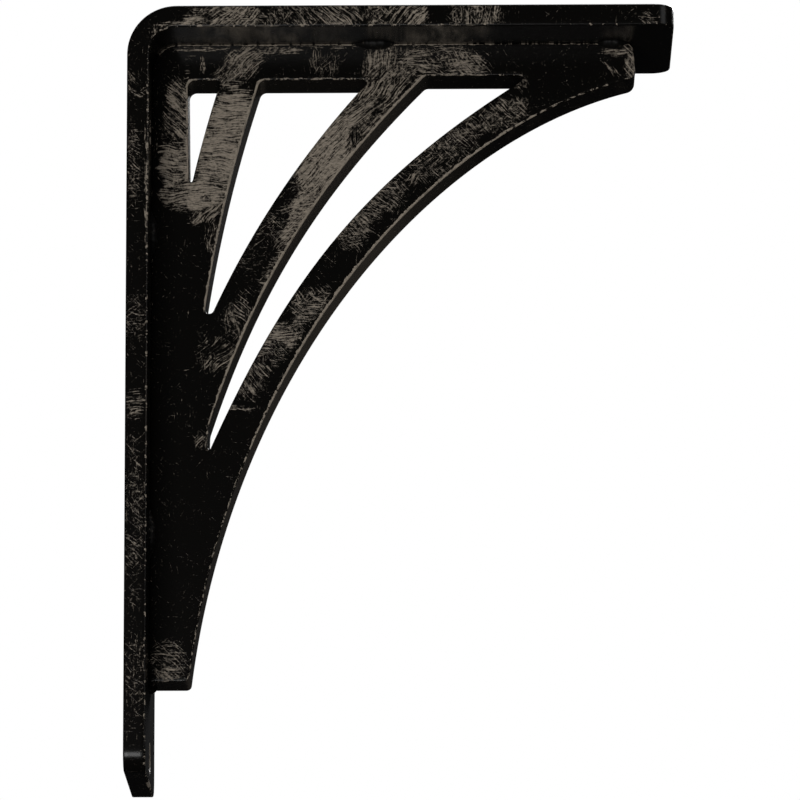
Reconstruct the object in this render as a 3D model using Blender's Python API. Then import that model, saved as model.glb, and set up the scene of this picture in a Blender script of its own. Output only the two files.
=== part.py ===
"""Wrought iron shelf bracket: a flat bar bent to a right angle, with a pierced plate tacked into its corner.

Blender script, metres, +Z up. +X points away from the wall and Y runs across the bar. The origin is in the
middle of the wall face. Outlines are drawn as (reach, drop): reach is the distance from the wall, and drop is
the height, always negative, measured from the top of the shelf leg.
"""

import math

import bmesh
import bpy
from mathutils import Matrix, Vector

MM = 0.001

# Bent bar
BAR_WIDTH = 50.8 * MM
BAR_THICK = 5.3 * MM
WALL_LEG = 187.6 * MM
SHELF_LEG = 132.9 * MM
BEND_OUTSIDE = 12.0 * MM
END_CORNER = 4.8 * MM
BAR_ARRIS = 0.4 * MM

# Screw holes through the wall leg: one at the foot, and one on each side of the plate under the bend
SCREW_HOLE = 6.4 * MM
FOOT_HOLE_FROM_END = 6.6 * MM
UPPER_HOLE_DROP = 30.0 * MM
UPPER_HOLE_ASIDE = 16.3 * MM

# Pierced plate
PLATE_THICK = 14.6 * MM
PLATE_ARRIS = 0.4 * MM
GAP = 0.3 * MM
PLATE_CORNER = 6.5 * MM
NOSE_REACH = 123.9 * MM
NOSE_DROP = -14.1 * MM
NOSE_SLOPE = 0.8 * MM
NOSE_TOP_ROUND = 2.2 * MM
NOSE_LOW_ROUND = 2.4 * MM
FOOT_REACH = 15.0 * MM
FOOT_DROP = -163.5 * MM
FOOT_ROUND = 1.3 * MM

# Outer edge, one curve from foot to nose: its lean from upright and the length of its handle at each end
FOOT_LEAN = math.radians(6.7)
FOOT_HANDLE = 80.9 * MM
NOSE_LEAN = math.radians(77.2)
NOSE_HANDLE = 50.5 * MM

# Windows: the drop of their level tops, and the radii of their corners and of their lower tips
BAND_DROP = -14.3 * MM
LAST_BAND_DROP = -13.4 * MM
WINDOW_CORNER = 1.8 * MM
SHARP_CORNER = 0.8 * MM
FIRST_TIP = 0.5 * MM
SECOND_TIP = 1.05 * MM
THIRD_TIP = 0.4 * MM
BLUNT_BEND = 3.0 * MM

# Tack welds along the seams on both sides of the plate: the middle and the length of each
SHELF_TACKS = ((60.0 * MM, 11.0 * MM), (118.0 * MM, 8.0 * MM))
WALL_TACKS = ((-53.0 * MM, 12.0 * MM), (-127.5 * MM, 12.5 * MM))
TACK_ON_BAR = 3.4 * MM
TACK_ON_PLATE = 2.2 * MM
FOOT_TACK = 1.6 * MM
TACK_SINK = 0.5 * MM

# Fineness of the curves
CURVE_STEP = 4.5 * MM
CORNER_STEPS = 6
BEND_STEPS = 12

TOP = WALL_LEG / 2
BEND_INSIDE = BEND_OUTSIDE - BAR_THICK


def clear_scene():
    for obj in list(bpy.data.objects):
        bpy.data.objects.remove(obj)


def finish(name, colour, roughness, metallic):
    material = bpy.data.materials.new(name)
    material.use_nodes = True
    shader = material.node_tree.nodes["Principled BSDF"]
    shader.inputs["Base Color"].default_value = (*colour, 1.0)
    shader.inputs["Roughness"].default_value = roughness
    shader.inputs["Metallic"].default_value = metallic
    return material


def add_object(name, mesh_source):
    """Turn a bmesh into a scene object of that name."""
    bmesh.ops.recalc_face_normals(mesh_source, faces=mesh_source.faces)
    mesh = bpy.data.meshes.new(name)
    mesh_source.to_mesh(mesh)
    mesh_source.free()
    mesh.shade_smooth()
    mesh.set_sharp_from_angle(angle=math.radians(30))
    obj = bpy.data.objects.new(name, mesh)
    bpy.context.scene.collection.objects.link(obj)
    return obj


def cutter(obj):
    """Keep an object as a tool for Boolean modifiers only."""
    obj.hide_render = True
    obj.display_type = "WIRE"
    return obj


def add_boolean(target, tool, operation):
    modifier = target.modifiers.new(f"{operation.lower()} {tool.name}", "BOOLEAN")
    modifier.operation = operation
    modifier.solver = "EXACT"
    modifier.object = tool


def point(reach, drop):
    return Vector((reach, drop))


def line(start, end):
    return [start, end]


def arc(start, end, rise):
    """Points on an arc from start to end that bows by rise to the left of the way."""
    chord = end - start
    length = chord.length
    along = chord / length
    aside = Vector((-along.y, along.x))
    half_angle = 2 * math.atan(2 * abs(rise) / length)
    radius = length / 2 / math.sin(half_angle)
    steps = max(2, math.ceil(2 * half_angle * radius / CURVE_STEP))
    middle = (start + end) / 2
    points = []
    for step in range(steps + 1):
        angle = half_angle * (2 * step / steps - 1)
        bow = radius * (math.cos(angle) - math.cos(half_angle))
        points.append(middle + along * radius * math.sin(angle) + aside * math.copysign(bow, rise))
    return points


def handled_curve(start, start_lean, start_handle, end, end_lean, end_handle):
    """Points on one cubic curve that rises from start to end; a lean is measured from upright."""
    first = start + start_handle * Vector((math.sin(start_lean), math.cos(start_lean)))
    second = end - end_handle * Vector((math.sin(end_lean), math.cos(end_lean)))
    steps = math.ceil((end - start).length / CURVE_STEP)
    points = []
    for step in range(steps + 1):
        t = step / steps
        s = 1 - t
        points.append(s**3 * start + 3 * s * s * t * first + 3 * s * t * t * second + t**3 * end)
    return points


def shortened(side, cut):
    """The side without its first stretch of length cut."""
    left = cut
    for index in range(len(side) - 1):
        step = side[index + 1] - side[index]
        if step.length > left:
            return [side[index] + step * (left / step.length), *side[index + 1 :]]
        left -= step.length
    raise ValueError("a corner radius is too large for its side")


def outline(sides):
    """Join (points, corner radius) sides end to end, each radius rounding the corner at its side's end."""
    paths = [list(points) for points, _ in sides]
    rounds = []
    for index, (_, radius) in enumerate(sides):
        following = (index + 1) % len(sides)
        corner = paths[following][0]
        back = (paths[index][-2] - corner).normalized()
        ahead = (paths[following][1] - corner).normalized()
        half = back.angle(ahead) / 2
        cut = radius / math.tan(half)
        if radius:
            centre = corner + (back + ahead).normalized() * (radius / math.sin(half))
            rounds.append((following, index, cut, centre))
    centres = {}
    for following, index, cut, centre in rounds:
        paths[index] = shortened(paths[index][::-1], cut)[::-1]
        paths[following] = shortened(paths[following], cut)
        centres[index] = centre
    joined = []
    for index, path in enumerate(paths):
        if index in centres:
            joined.extend(path)
            joined.extend(corner_round(path[-1], paths[(index + 1) % len(paths)][0], centres[index]))
        else:
            joined.extend(path[:-1])
    return joined


def corner_round(start, end, centre):
    """Points between start and end, both left out, that turn about centre."""
    first, last = start - centre, end - centre
    turn = -first.angle_signed(last)
    points = []
    for step in range(1, CORNER_STEPS):
        share = step / CORNER_STEPS
        spoke = Matrix.Rotation(turn * share, 2) @ first.normalized()
        points.append(centre + spoke * (first.length + (last.length - first.length) * share))
    return points


def plate_outline():
    """Outer edge of the plate, anticlockwise from its corner in the bend."""
    near_wall = BAR_THICK + GAP
    under_shelf = -BAR_THICK - GAP
    bend_corner = point(near_wall, under_shelf)
    foot_inner = point(near_wall, FOOT_DROP)
    foot_outer = point(FOOT_REACH, FOOT_DROP)
    nose_low = point(NOSE_REACH, NOSE_DROP)
    nose_top = point(NOSE_REACH - NOSE_SLOPE, under_shelf)
    outer_edge = handled_curve(foot_outer, FOOT_LEAN, FOOT_HANDLE, nose_low, NOSE_LEAN, NOSE_HANDLE)
    return outline(
        (
            (line(bend_corner, foot_inner), 0.0),
            (line(foot_inner, foot_outer), FOOT_ROUND),
            (outer_edge, NOSE_LOW_ROUND),
            (line(nose_low, nose_top), NOSE_TOP_ROUND),
            (line(nose_top, bend_corner), PLATE_CORNER),
        )
    )


def first_window():
    """Narrow window between the wall band and the first strut."""
    top_left = point(14.0 * MM, BAND_DROP)
    top_right = point(22.2 * MM, BAND_DROP)
    tip = point(14.4 * MM, -43.9 * MM)
    return outline(
        (
            (line(top_left, tip), FIRST_TIP),
            (arc(tip, top_right, 0.4 * MM), SHARP_CORNER),
            (line(top_right, top_left), WINDOW_CORNER),
        )
    )


def second_window():
    """Middle window between the two struts."""
    top_left = point(31.8 * MM, BAND_DROP)
    top_right = point(58.8 * MM, BAND_DROP)
    tip = point(17.5 * MM, -79.2 * MM)
    return outline(
        (
            (arc(top_left, tip, -1.6 * MM), SECOND_TIP),
            (arc(tip, top_right, 3.4 * MM), SHARP_CORNER),
            (line(top_right, top_left), WINDOW_CORNER),
        )
    )


def third_window():
    """Long window between the second strut and the outer strut, blunt at its lower end."""
    top_left = point(72.2 * MM, LAST_BAND_DROP)
    top_right = point(98.1 * MM, LAST_BAND_DROP)
    blunt = point(19.4 * MM, -100.8 * MM)
    tip = point(19.2 * MM, -108.0 * MM)
    left_lean = math.radians(17.8), math.radians(44.9)
    right_lean = math.radians(23.5), math.radians(57.9)
    left = handled_curve(blunt, left_lean[0], 35.9 * MM, top_left, left_lean[1], 38.4 * MM)
    right = handled_curve(tip, right_lean[0], 50.2 * MM, top_right, right_lean[1], 46.1 * MM)
    return outline(
        (
            (left[::-1], BLUNT_BEND),
            (line(blunt, tip), THIRD_TIP),
            (right, SHARP_CORNER),
            (line(top_right, top_left), WINDOW_CORNER),
        )
    )


def inset(points, depth):
    """Move a closed outline to the left of its way by depth."""
    moved = []
    for index, here in enumerate(points):
        before = (here - points[index - 1]).normalized()
        after = (points[(index + 1) % len(points)] - here).normalized()
        left = Vector((-before.y - after.y, before.x + after.x)).normalized()
        stretch = left.dot(Vector((-before.y, before.x)))
        moved.append(here + left * (depth / stretch))
    return moved


def pierced_slab(name, edge, windows, thickness, arris):
    """Slab of constant thickness with chamfered arrises; edge runs anticlockwise and windows clockwise."""
    levels = (
        (-thickness / 2, arris),
        (-thickness / 2 + arris, 0.0),
        (thickness / 2 - arris, 0.0),
        (thickness / 2, arris),
    )
    slab = bmesh.new()
    faces_edges = ([], [])
    for points in (edge, *windows):
        rings = []
        for across, depth in levels:
            moved = inset(points, depth)
            rings.append([slab.verts.new((p.x, across, p.y + TOP)) for p in moved])
        for lower, upper in zip(rings, rings[1:]):
            for index in range(len(points)):
                following = (index + 1) % len(points)
                slab.faces.new((lower[index], lower[following], upper[following], upper[index]))
        for ring, edges in ((rings[0], faces_edges[0]), (rings[-1], faces_edges[1])):
            for index, vertex in enumerate(ring):
                edges.append(slab.edges.get((vertex, ring[(index + 1) % len(ring)])))
    for edges in faces_edges:
        bmesh.ops.triangle_fill(slab, use_beauty=True, use_dissolve=False, edges=edges)
    return add_object(name, slab)


def bead(into, start, end, on_bar, on_plate):
    """Weld bead from start to end; on_bar and on_plate are its two legs, at right angles to its way."""
    stations = 6
    section_steps = 4
    rings = []
    sink = -on_bar.normalized() * TACK_SINK
    for station in range(stations + 1):
        along = station / stations
        swell = math.sqrt(max(0.0, 1 - (2 * along - 1) ** 2)) * 0.75 + 0.25
        root = start.lerp(end, along)
        section = [root + sink]
        for step in range(section_steps + 1):
            angle = math.pi / 2 * step / section_steps
            fullness = 1 - 0.18 * math.sin(2 * angle)
            section.append(root + (on_bar * math.cos(angle) + on_plate * math.sin(angle)) * swell * fullness)
        section.append(root + sink + on_plate * swell)
        rings.append([into.verts.new(corner) for corner in section])
    for first, second in zip(rings, rings[1:]):
        for index in range(len(first)):
            following = (index + 1) % len(first)
            into.faces.new((first[index], first[following], second[following], second[index]))
    into.faces.new(rings[0])
    into.faces.new(rings[-1])


def tack_welds():
    """All weld beads, as one tool that is fused to the plate."""
    beads = bmesh.new()
    away = Vector((1, 0, 0))
    down = Vector((0, 0, -1))
    under_shelf = TOP - BAR_THICK - GAP
    near_wall = BAR_THICK + GAP
    for side in (-1, 1):
        outwards = Vector((0, side, 0))
        face = side * PLATE_THICK / 2
        for middle, length in SHELF_TACKS:
            start = Vector((middle - length / 2, face, under_shelf))
            end = Vector((middle + length / 2, face, under_shelf))
            bead(beads, start, end, outwards * TACK_ON_BAR, down * TACK_ON_PLATE)
        for middle, length in WALL_TACKS:
            start = Vector((near_wall, face, TOP + middle - length / 2))
            end = Vector((near_wall, face, TOP + middle + length / 2))
            bead(beads, start, end, outwards * TACK_ON_BAR, away * TACK_ON_PLATE)
    reach = PLATE_THICK / 2 - 1.5 * MM
    foot = TOP + FOOT_DROP
    start = Vector((near_wall, -reach, foot))
    end = Vector((near_wall, reach, foot))
    bead(beads, start, end, down * FOOT_TACK, away * FOOT_TACK)
    return cutter(add_object("tack_welds", beads))


def pierced_plate():
    windows = (first_window(), second_window(), third_window())
    plate = pierced_slab("pierced_plate", plate_outline(), [w[::-1] for w in windows], PLATE_THICK, PLATE_ARRIS)
    add_boolean(plate, tack_welds(), "UNION")
    plate.data.materials.append(finish("plate lacquer", (0.012, 0.011, 0.010), 0.42, 0.3))
    return plate


def turned(centre, radius, start, end):
    """Points on an arc about centre from angle start to angle end."""
    points = []
    for step in range(BEND_STEPS + 1):
        angle = start + (end - start) * step / BEND_STEPS
        points.append(centre + radius * Vector((math.cos(angle), math.sin(angle))))
    return points


def bar_profile():
    """The bar seen from its side, from the wall leg's lower end round the bend and back."""
    centre = point(BEND_OUTSIDE, -BEND_OUTSIDE)
    return [
        point(0.0, -WALL_LEG),
        *turned(centre, BEND_OUTSIDE, math.pi, math.pi / 2),
        point(SHELF_LEG, 0.0),
        point(SHELF_LEG, -BAR_THICK),
        *turned(centre, BEND_INSIDE, math.pi / 2, math.pi),
        point(BAR_THICK, -WALL_LEG),
    ]


def bar_blank():
    """The profile drawn out to the bar's width, with the corners of both free ends rounded."""
    bar = bmesh.new()
    near = [bar.verts.new((p.x, -BAR_WIDTH / 2, p.y + TOP)) for p in bar_profile()]
    side = bar.faces.new(near)
    drawn = bmesh.ops.extrude_face_region(bar, geom=[side])
    far = [item for item in drawn["geom"] if isinstance(item, bmesh.types.BMVert)]
    bmesh.ops.translate(bar, vec=(0.0, BAR_WIDTH, 0.0), verts=far)
    corners = [edge for edge in bar.edges if is_end_corner(edge)]
    bmesh.ops.bevel(bar, geom=corners, offset=END_CORNER, segments=8, profile=0.5, affect="EDGES")
    return add_object("bent_bar", bar)


def is_end_corner(edge):
    """True for the four short edges at the free ends, which cross the bar's thickness."""
    a, b = (vertex.co for vertex in edge.verts)
    level = abs(a.y - b.y) < MM and abs((a - b).length - BAR_THICK) < MM / 100
    at_foot = max(a.z, b.z) < TOP - WALL_LEG + MM
    at_tip = min(a.x, b.x) > SHELF_LEG - MM
    return level and (at_foot or at_tip)


def screw_holes():
    """Drills for the screw holes, across the wall leg."""
    drills = bmesh.new()
    places = (
        (0.0, TOP - WALL_LEG + FOOT_HOLE_FROM_END),
        (-UPPER_HOLE_ASIDE, TOP - UPPER_HOLE_DROP),
        (UPPER_HOLE_ASIDE, TOP - UPPER_HOLE_DROP),
    )
    for across, height in places:
        rings = []
        for reach in (-BAR_THICK, 2 * BAR_THICK):
            ring = []
            for step in range(24):
                angle = 2 * math.pi * step / 24
                y = across + SCREW_HOLE / 2 * math.cos(angle)
                z = height + SCREW_HOLE / 2 * math.sin(angle)
                ring.append(drills.verts.new((reach, y, z)))
            rings.append(ring)
        for index in range(24):
            following = (index + 1) % 24
            drills.faces.new((rings[0][index], rings[0][following], rings[1][following], rings[1][index]))
        drills.faces.new(rings[0])
        drills.faces.new(rings[1])
    return cutter(add_object("screw_drills", drills))


def bent_bar():
    bar = bar_blank()
    ease = bar.modifiers.new("eased arrises", "BEVEL")
    ease.width = BAR_ARRIS
    ease.segments = 1
    ease.limit_method = "ANGLE"
    ease.angle_limit = math.radians(40)
    add_boolean(bar, screw_holes(), "DIFFERENCE")
    bar.data.materials.append(finish("bar lacquer", (0.013, 0.012, 0.011), 0.42, 0.3))
    return bar


def main():
    clear_scene()
    bent_bar()
    pierced_plate()


main()
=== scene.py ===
"""Looks of a wrought iron shelf bracket: worn black lacquer over a bent flat bar and a pierced plate.

Outlines are drawn as (reach, drop) in metres: reach is the distance from the wall, and drop is the height,
always negative, measured from the top of the shelf leg. Wear is laid out in millimetres in the same way.
"""

import math

import bpy
import numpy as np
from bpy.props import FloatProperty, FloatVectorProperty, IntProperty, PointerProperty
from mathutils import Matrix, Vector
from mathutils.geometry import delaunay_2d_cdt
from mathutils.kdtree import KDTree


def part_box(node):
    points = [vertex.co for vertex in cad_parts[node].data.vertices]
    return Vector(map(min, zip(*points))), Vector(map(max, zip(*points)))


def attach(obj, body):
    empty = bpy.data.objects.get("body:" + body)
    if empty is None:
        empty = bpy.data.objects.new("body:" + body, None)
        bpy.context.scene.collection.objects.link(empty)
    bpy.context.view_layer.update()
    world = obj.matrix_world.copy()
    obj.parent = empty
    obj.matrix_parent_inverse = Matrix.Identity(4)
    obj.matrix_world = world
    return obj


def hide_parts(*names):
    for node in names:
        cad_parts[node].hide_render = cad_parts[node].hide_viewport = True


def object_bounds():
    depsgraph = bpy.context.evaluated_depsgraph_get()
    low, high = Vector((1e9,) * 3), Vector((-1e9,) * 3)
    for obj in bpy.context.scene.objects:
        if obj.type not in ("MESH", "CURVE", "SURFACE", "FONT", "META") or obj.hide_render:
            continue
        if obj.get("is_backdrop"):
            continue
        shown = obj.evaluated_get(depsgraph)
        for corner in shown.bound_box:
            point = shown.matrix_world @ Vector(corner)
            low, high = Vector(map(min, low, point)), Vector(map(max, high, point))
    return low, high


bl_info = {
    "name": "Wrought Iron Bracket",
    "version": (1, 0, 0),
    "blender": (4, 5, 0),
    "location": "View3D > Sidebar > Bracket",
    "description": "Makes the worn lacquered bar, plate and welds of a shelf bracket, and its stage",
    "category": "Add Mesh",
}

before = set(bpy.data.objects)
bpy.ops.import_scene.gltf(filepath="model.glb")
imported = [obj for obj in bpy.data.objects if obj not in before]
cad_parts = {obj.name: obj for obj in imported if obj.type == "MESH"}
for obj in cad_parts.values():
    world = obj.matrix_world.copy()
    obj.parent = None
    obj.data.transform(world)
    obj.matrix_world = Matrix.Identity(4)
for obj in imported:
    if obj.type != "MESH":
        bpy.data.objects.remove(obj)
CAD_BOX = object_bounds()

MM = 0.001
BODY = "root"
BAR_LOW, BAR_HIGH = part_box("bent_bar")
PLATE_LOW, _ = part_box("pierced_plate")
TOP = BAR_HIGH.z

# Fineness of the meshes
ARRIS_STEPS = 3
CORNER_STEPS = 10
HOLE_STEPS = 48
CURVE_STEP = 0.7 * MM
SHARP_ANGLE = math.radians(40)

# How far apart the lays of faces and of the bar's two sides are, so that they share no marks
FACE_SHIFT = 0.7
SIDE_SHIFT = 0.3

# The part of an end corner's radius that still counts as the bar's side
SIDE_SHARE = 0.3

# Middle and length of each tack weld in millimetres, out along the shelf leg and down the wall leg
SHELF_TACKS = ((60.0, 11.0), (118.0, 8.0))
WALL_TACKS = ((-53.0, 12.0), (-127.5, 12.5))

# Wear of the bar as a whole
SIDE_WEAR = 0.02
OUTER_FACE_WEAR = 0.06
INNER_FACE_WEAR = -0.1
OUTER_ARRIS_WEAR = 0.1
# Wear round the lowest hole, with a painted glint on its rim
FOOT_HOLE_WEAR_AND_GLINT = 0.9
WALL_LEG_REACH = 7

# How far the wear and painted glint round the lowest hole spread, up the wall leg and to each side of
# mid-width
FOOT_HOLE_RISE = 11 * MM
FOOT_HOLE_ASIDE = 4.5 * MM

# Wear of the plate as a whole, with painted highlight on arrises and painted sheen on cut faces
PLATE_ARRIS_WEAR = 0.2
# Painted highlight on the arrises that face down and away from the wall
FACING_ARRIS_HIGHLIGHT = 0.75
# Painted sheen on the cut faces that face down and away from the wall
CUT_FACE_SHEEN_HAZE = 0.15
NOSE_REACH = 121.5
NOSE_ARRIS_WEAR = 0.5
SEAM_DROP = -8

# Wear, painted reflection and painted sheen that follow the distance from the wall, as stops in millimetres
# and the values there
# Painted reflection: streaky pale bands under the shelf leg
UNDERSIDE_REFLECTION = ((16, 20, 38, 43, 52, 55, 65, 70, 84, 90), (0, 1, 1, 0.4, 0.4, 0, 0, 1, 1, 0))
BAR_ARRIS_LOSS = ((80, 95), (0, 0.16))
PLATE_ARRIS_LOSS = ((80, 110), (0, 0.38))
SEAM_ARRIS_WEAR = ((84, 92), (0.62, 0.42))
# Share of the painted sheen on cut faces, fading towards the nose
CUT_FACE_SHEEN_SHARE = ((60, 70, 90), (1, 0.5, 0.05))

# Wear, and a paler band on the wall leg's inner face, that follow the depth below the shelf, in the same way
WALL_PALER_BAND = ((12, 16, 110, 130), (0, 0.2, 0.2, 0))
BAR_ARRIS_WEAR = ((18, 24, 50, 56), (0.33, 0.43, 0.43, 0.33))
LOW_ARRIS_LOSS = ((85, 110), (0, 0.42))

# How the strokes' mask answers to wear: where it starts on sound lacquer, how far full wear lowers that,
# how blotchy it is, and how soft its edges are
SOUND_START = 0.73
WEAR_GAIN = 0.32
BLOTCHES = 0.8
STROKE_EDGE = (-0.05, 0.11)
ARRIS_EDGE = (-0.03 * MM, 0.05 * MM)

# The ways that the plate's arrises with painted highlights and its cut faces with painted sheen look
HIGHLIGHT_WAY = np.array([0.8, -0.6])
CUT_FACE_SHEEN_WAY = np.array([0.7, -0.7])


def length_prop(name, description, millimetres):
    return FloatProperty(name=name, description=description, default=millimetres * MM, unit="LENGTH")


def number_prop(name, description, value):
    return FloatProperty(name=name, description=description, default=value)


def power_prop(name, description, watts):
    return FloatProperty(name=name, description=description, default=watts, unit="POWER")


def colour_prop(name, description, value):
    return FloatVectorProperty(name=name, description=description, default=value, subtype="COLOR")


def place_prop(name, description, metres):
    return FloatVectorProperty(name=name, description=description, default=metres, unit="LENGTH")


class BracketBar(bpy.types.PropertyGroup):
    """Sizes of the bent flat bar."""

    thickness: length_prop("Thickness", "Thickness of the flat bar", 5.3)
    bend: length_prop("Bend Radius", "Radius of the bend's outer side", 12.0)
    end_corner: length_prop("End Corners", "Radius of the corners at both free ends", 4.8)
    arris: length_prop("Arris", "Radius that rounds the long edges", 0.4)
    screw_hole: length_prop("Screw Hole", "Width of the screw holes", 6.4)
    low_hole_rise: length_prop("Low Hole Rise", "Height of the lowest hole above the wall leg's end", 6.6)
    high_hole_drop: length_prop("High Holes Drop", "Drop of the upper holes below the shelf", 30.0)
    high_hole_aside: length_prop("High Holes Aside", "Distance of the upper holes from mid-width", 16.3)
    grain: length_prop("Grain", "Distance between the mesh's points", 1.0)


class BracketPlate(bpy.types.PropertyGroup):
    """Sizes of the pierced plate."""

    thickness: length_prop("Thickness", "Thickness of the plate", 14.6)
    arris: length_prop("Arris", "Radius that rounds the cut edges", 0.3)
    grain: length_prop("Grain", "Distance between the mesh's points", 0.75)


class BracketWelds(bpy.types.PropertyGroup):
    """Sizes of the tack welds."""

    leg_on_bar: length_prop("Leg on the Bar", "Width of a bead on the bar", 2.2)
    leg_on_plate: length_prop("Leg on the Plate", "Width of a bead on the plate", 1.5)
    foot_leg: length_prop("Foot Leg", "Width of the bead under the plate's foot", 1.6)
    pitch: length_prop("Ripple Pitch", "Distance between two ripples", 1.6)
    ripple: number_prop("Ripple Height", "Height of a ripple as a share of the bead's radius", 0.01)
    roughness: length_prop("Roughness", "How far the beads' surface wanders", 0.8)
    rings: IntProperty(name="Rings", description="Rings of points along one bead", default=48)


class BracketFinish(bpy.types.PropertyGroup):
    """Colours and wear of the finish."""

    lacquer: colour_prop("Lacquer", "Colour of the sound lacquer", (0.0021, 0.0019, 0.0016))
    iron: colour_prop("Iron", "Colour where the lacquer is brushed away", (0.2, 0.17, 0.135))
    iron_streaks: number_prop("Iron Streaks", "Tone of the bare iron's dark streaks, as a share", 0.5)
    drift: number_prop("Stroke Drift", "How far the strokes wander in millimetres", 3.0)
    chop: number_prop("Stroke Chop", "How much fine grain breaks up the strokes' edges", 0.35)
    stroke_length: number_prop("Stroke Length", "Length of a brush stroke in millimetres", 4.4)
    stroke_width: number_prop("Stroke Width", "Width of a brush stroke in millimetres", 0.33)
    arris_line: length_prop("Arris Line", "How much wider a line the most worn arrises show", 0.55)
    arris_breaks: length_prop("Arris Breaks", "How far the line along an arris swells and fades", 1.4)
    # Strength of the painted reflection under the shelf leg and of the painted sheen on cut faces
    sheen_haze: number_prop("Haze", "How far the lacquer under the shelf leg is thinned at most", 0.26)
    # Strength of the painted sheen on cut faces that face down and away from the wall
    cut_face_sheen_strength: number_prop("Dulling", "How far the lacquer on slanting cut faces is thinned", 0.27)
    gloss: number_prop("Lacquer Roughness", "Roughness of the sound lacquer", 0.23)
    worn_gloss: number_prop("Worn Roughness", "Roughness of bare iron and of the welds", 0.55)
    specular: number_prop("Specular Level", "Strength of the lacquer's shine", 0.12)


class BracketStage(bpy.types.PropertyGroup):
    """Camera, lights and floor."""

    lens: number_prop("Lens", "Focal length in millimetres", 338.5)
    camera_place: place_prop("Camera Place", "Place of the camera", (0.08715, -1.80076, -0.3535))
    camera_turn: FloatVectorProperty(
        name="Camera Turn",
        description="Turn of the camera about X, Y and Z",
        default=(math.radians(101.131), math.radians(0.0595), math.radians(0.6876)),
        subtype="EULER",
    )
    floor_height: length_prop("Floor Height", "Height of the floor", -850.0)
    floor_reach: length_prop("Floor Reach", "How far the floor spreads from the middle", 12000.0)
    floor_colour: colour_prop("Floor Colour", "Colour of the floor", (0.75, 0.74, 0.72))
    floor_glow: number_prop("Floor Glow", "How much light the floor gives off, to look pale", 0.35)
    ambient: number_prop("Ambient", "Strength of the soft light from all round", 0.3)
    mirrored: number_prop("Mirrored", "Strength of the dim surround that the lacquer mirrors", 0.006)
    aim: place_prop("Aim", "The point that all lights face", (0.06, 0.0, 0.0))
    key_place: place_prop("Key Place", "Place of the main light", (-0.25, -1.35, -0.5))
    key_size: length_prop("Key Size", "Width of the main light", 500.0)
    key_power: power_prop("Key Power", "Power of the main light", 13.6)
    fill_place: place_prop("Fill Place", "Place of the fill light", (1.5, -1.0, 0.5))
    fill_size: length_prop("Fill Size", "Width of the fill light", 800.0)
    fill_power: power_prop("Fill Power", "Power of the fill light", 5.0)
    top_place: place_prop("Top Place", "Place of the light above", (0.2, 0.1, 1.7))
    top_size: length_prop("Top Size", "Width of the light above", 1400.0)
    top_power: power_prop("Top Power", "Power of the light above", 26.0)
    rim_place: place_prop("Rim Place", "Place of the light from behind", (0.6, 1.4, 0.9))
    rim_size: length_prop("Rim Size", "Width of the light from behind", 800.0)
    rim_power: power_prop("Rim Power", "Power of the light from behind", 40.0)


def point(reach, drop):
    return Vector((reach * MM, drop * MM))


def line(start, end):
    return [start, end]


def arc(start, end, rise):
    """Points on an arc from start to end that bows by rise to the left of the way."""
    chord = end - start
    length = chord.length
    along = chord / length
    aside = Vector((-along.y, along.x))
    half_angle = 2 * math.atan(2 * abs(rise) / length)
    radius = length / 2 / math.sin(half_angle)
    steps = max(2, math.ceil(2 * half_angle * radius / CURVE_STEP))
    middle = (start + end) / 2
    points = []
    for step in range(steps + 1):
        angle = half_angle * (2 * step / steps - 1)
        bow = radius * (math.cos(angle) - math.cos(half_angle))
        points.append(middle + along * radius * math.sin(angle) + aside * math.copysign(bow, rise))
    return points


def handled_curve(start, end, leans, handles):
    """Points on one cubic curve that rises from start to end; leans are in degrees from upright."""
    turns = [math.radians(lean) for lean in leans]
    first = start + handles[0] * MM * Vector((math.sin(turns[0]), math.cos(turns[0])))
    second = end - handles[1] * MM * Vector((math.sin(turns[1]), math.cos(turns[1])))
    steps = math.ceil((end - start).length / CURVE_STEP)
    points = []
    for step in range(steps + 1):
        t = step / steps
        s = 1 - t
        points.append(s**3 * start + 3 * s * s * t * first + 3 * s * t * t * second + t**3 * end)
    return points


def shortened(side, cut):
    """The side without its first stretch of length cut."""
    left = cut
    for index in range(len(side) - 1):
        step = side[index + 1] - side[index]
        if step.length > left:
            return [side[index] + step * (left / step.length), *side[index + 1 :]]
        left -= step.length
    raise ValueError("a corner radius is too large for its side")


def corner_round(start, end, centre):
    """Points between start and end, both left out, that turn about centre."""
    first, last = start - centre, end - centre
    turn = -first.angle_signed(last)
    points = []
    for step in range(1, CORNER_STEPS):
        share = step / CORNER_STEPS
        spoke = Matrix.Rotation(turn * share, 2) @ first.normalized()
        points.append(centre + spoke * (first.length + (last.length - first.length) * share))
    return points


def outline(sides):
    """Join (points, corner radius in mm) sides, each radius rounding the corner at its side's end."""
    paths = [list(points) for points, _ in sides]
    rounds = []
    for index, (_, radius) in enumerate(sides):
        following = (index + 1) % len(sides)
        corner = paths[following][0]
        back = (paths[index][-2] - corner).normalized()
        ahead = (paths[following][1] - corner).normalized()
        half = back.angle(ahead) / 2
        if radius:
            centre = corner + (back + ahead).normalized() * (radius * MM / math.sin(half))
            rounds.append((following, index, radius * MM / math.tan(half), centre))
    centres = {}
    for following, index, cut, centre in rounds:
        paths[index] = shortened(paths[index][::-1], cut)[::-1]
        paths[following] = shortened(paths[following], cut)
        centres[index] = centre
    joined = []
    for index, path in enumerate(paths):
        if index in centres:
            joined.extend(path)
            joined.extend(corner_round(path[-1], paths[(index + 1) % len(paths)][0], centres[index]))
        else:
            joined.extend(path[:-1])
    return joined


def divided(points, step):
    """The closed outline with every side cut into stretches no longer than step."""
    cut = []
    for index, here in enumerate(points):
        there = points[(index + 1) % len(points)]
        parts = max(1, math.ceil((there - here).length / step - 0.01))
        cut.extend(here.lerp(there, part / parts) for part in range(parts))
    return cut


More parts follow.
